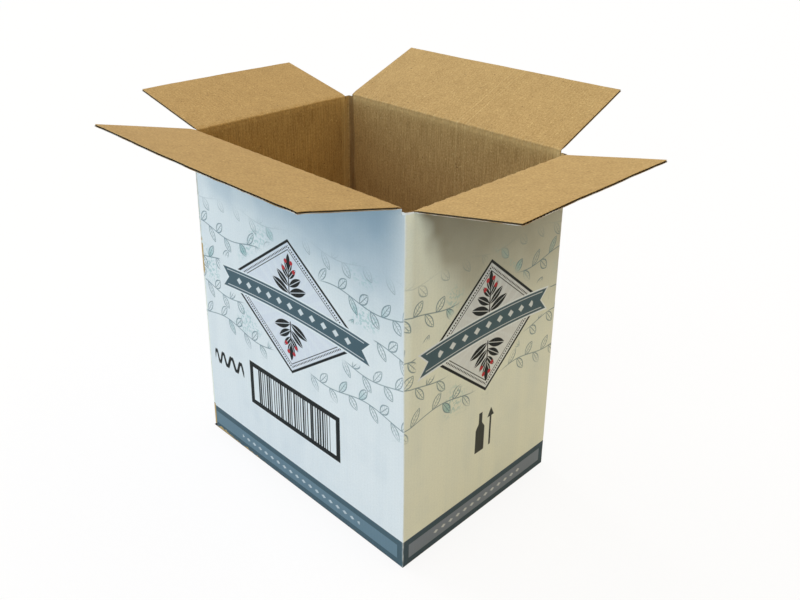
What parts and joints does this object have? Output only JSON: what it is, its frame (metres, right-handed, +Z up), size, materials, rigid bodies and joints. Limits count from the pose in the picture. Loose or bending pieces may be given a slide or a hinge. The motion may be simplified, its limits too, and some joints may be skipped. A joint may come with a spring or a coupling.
{
  "type": "cardboard carton",
  "caption": "Tall corrugated carton with a printed pale outside, brown inside, glued bottom and creased top flaps that stand open.",
  "frame": {"origin": "middle of the carton's base, on the surface that it stands on", "axes": "+Z up, X along the long walls, -Y out of the front wall, +X out of the right wall"},
  "size_m": [0.4381, 0.354, 0.3393],
  "materials": {
    "printed_board": "white-lined corrugated board printed outside, bare brown inside",
    "kraft_board": "brown liner on the inside of the flaps, printed liner on the outside"
  },
  "bodies": {
    "carton": {"carton": "printed_board"},
    "front_flap": {"front_flap": "kraft_board"},
    "right_flap": {"right_flap": "kraft_board"},
    "back_flap": {"back_flap": "kraft_board"},
    "left_flap": {"left_flap": "kraft_board"}
  },
  "joints": [
    {"name": "front_flap_crease", "type": "hinge", "parent": "carton", "child": "front_flap", "pos_m": [0, -0.0911, 0.3031], "axis": [1, 0, 0], "range_deg": [-166, 69]},
    {"name": "right_flap_crease", "type": "hinge", "parent": "carton", "child": "right_flap", "pos_m": [0.1301, 0, 0.3009], "axis": [0, 1, 0], "range_deg": [-169, 66]},
    {"name": "back_flap_crease", "type": "hinge", "parent": "carton", "child": "back_flap", "pos_m": [0, 0.0911, 0.3031], "axis": [-1, 0, 0], "range_deg": [-157, 78]},
    {"name": "left_flap_crease", "type": "hinge", "parent": "carton", "child": "left_flap", "pos_m": [-0.1301, 0, 0.3009], "axis": [0, -1, 0], "range_deg": [-168, 67]}
  ]
}
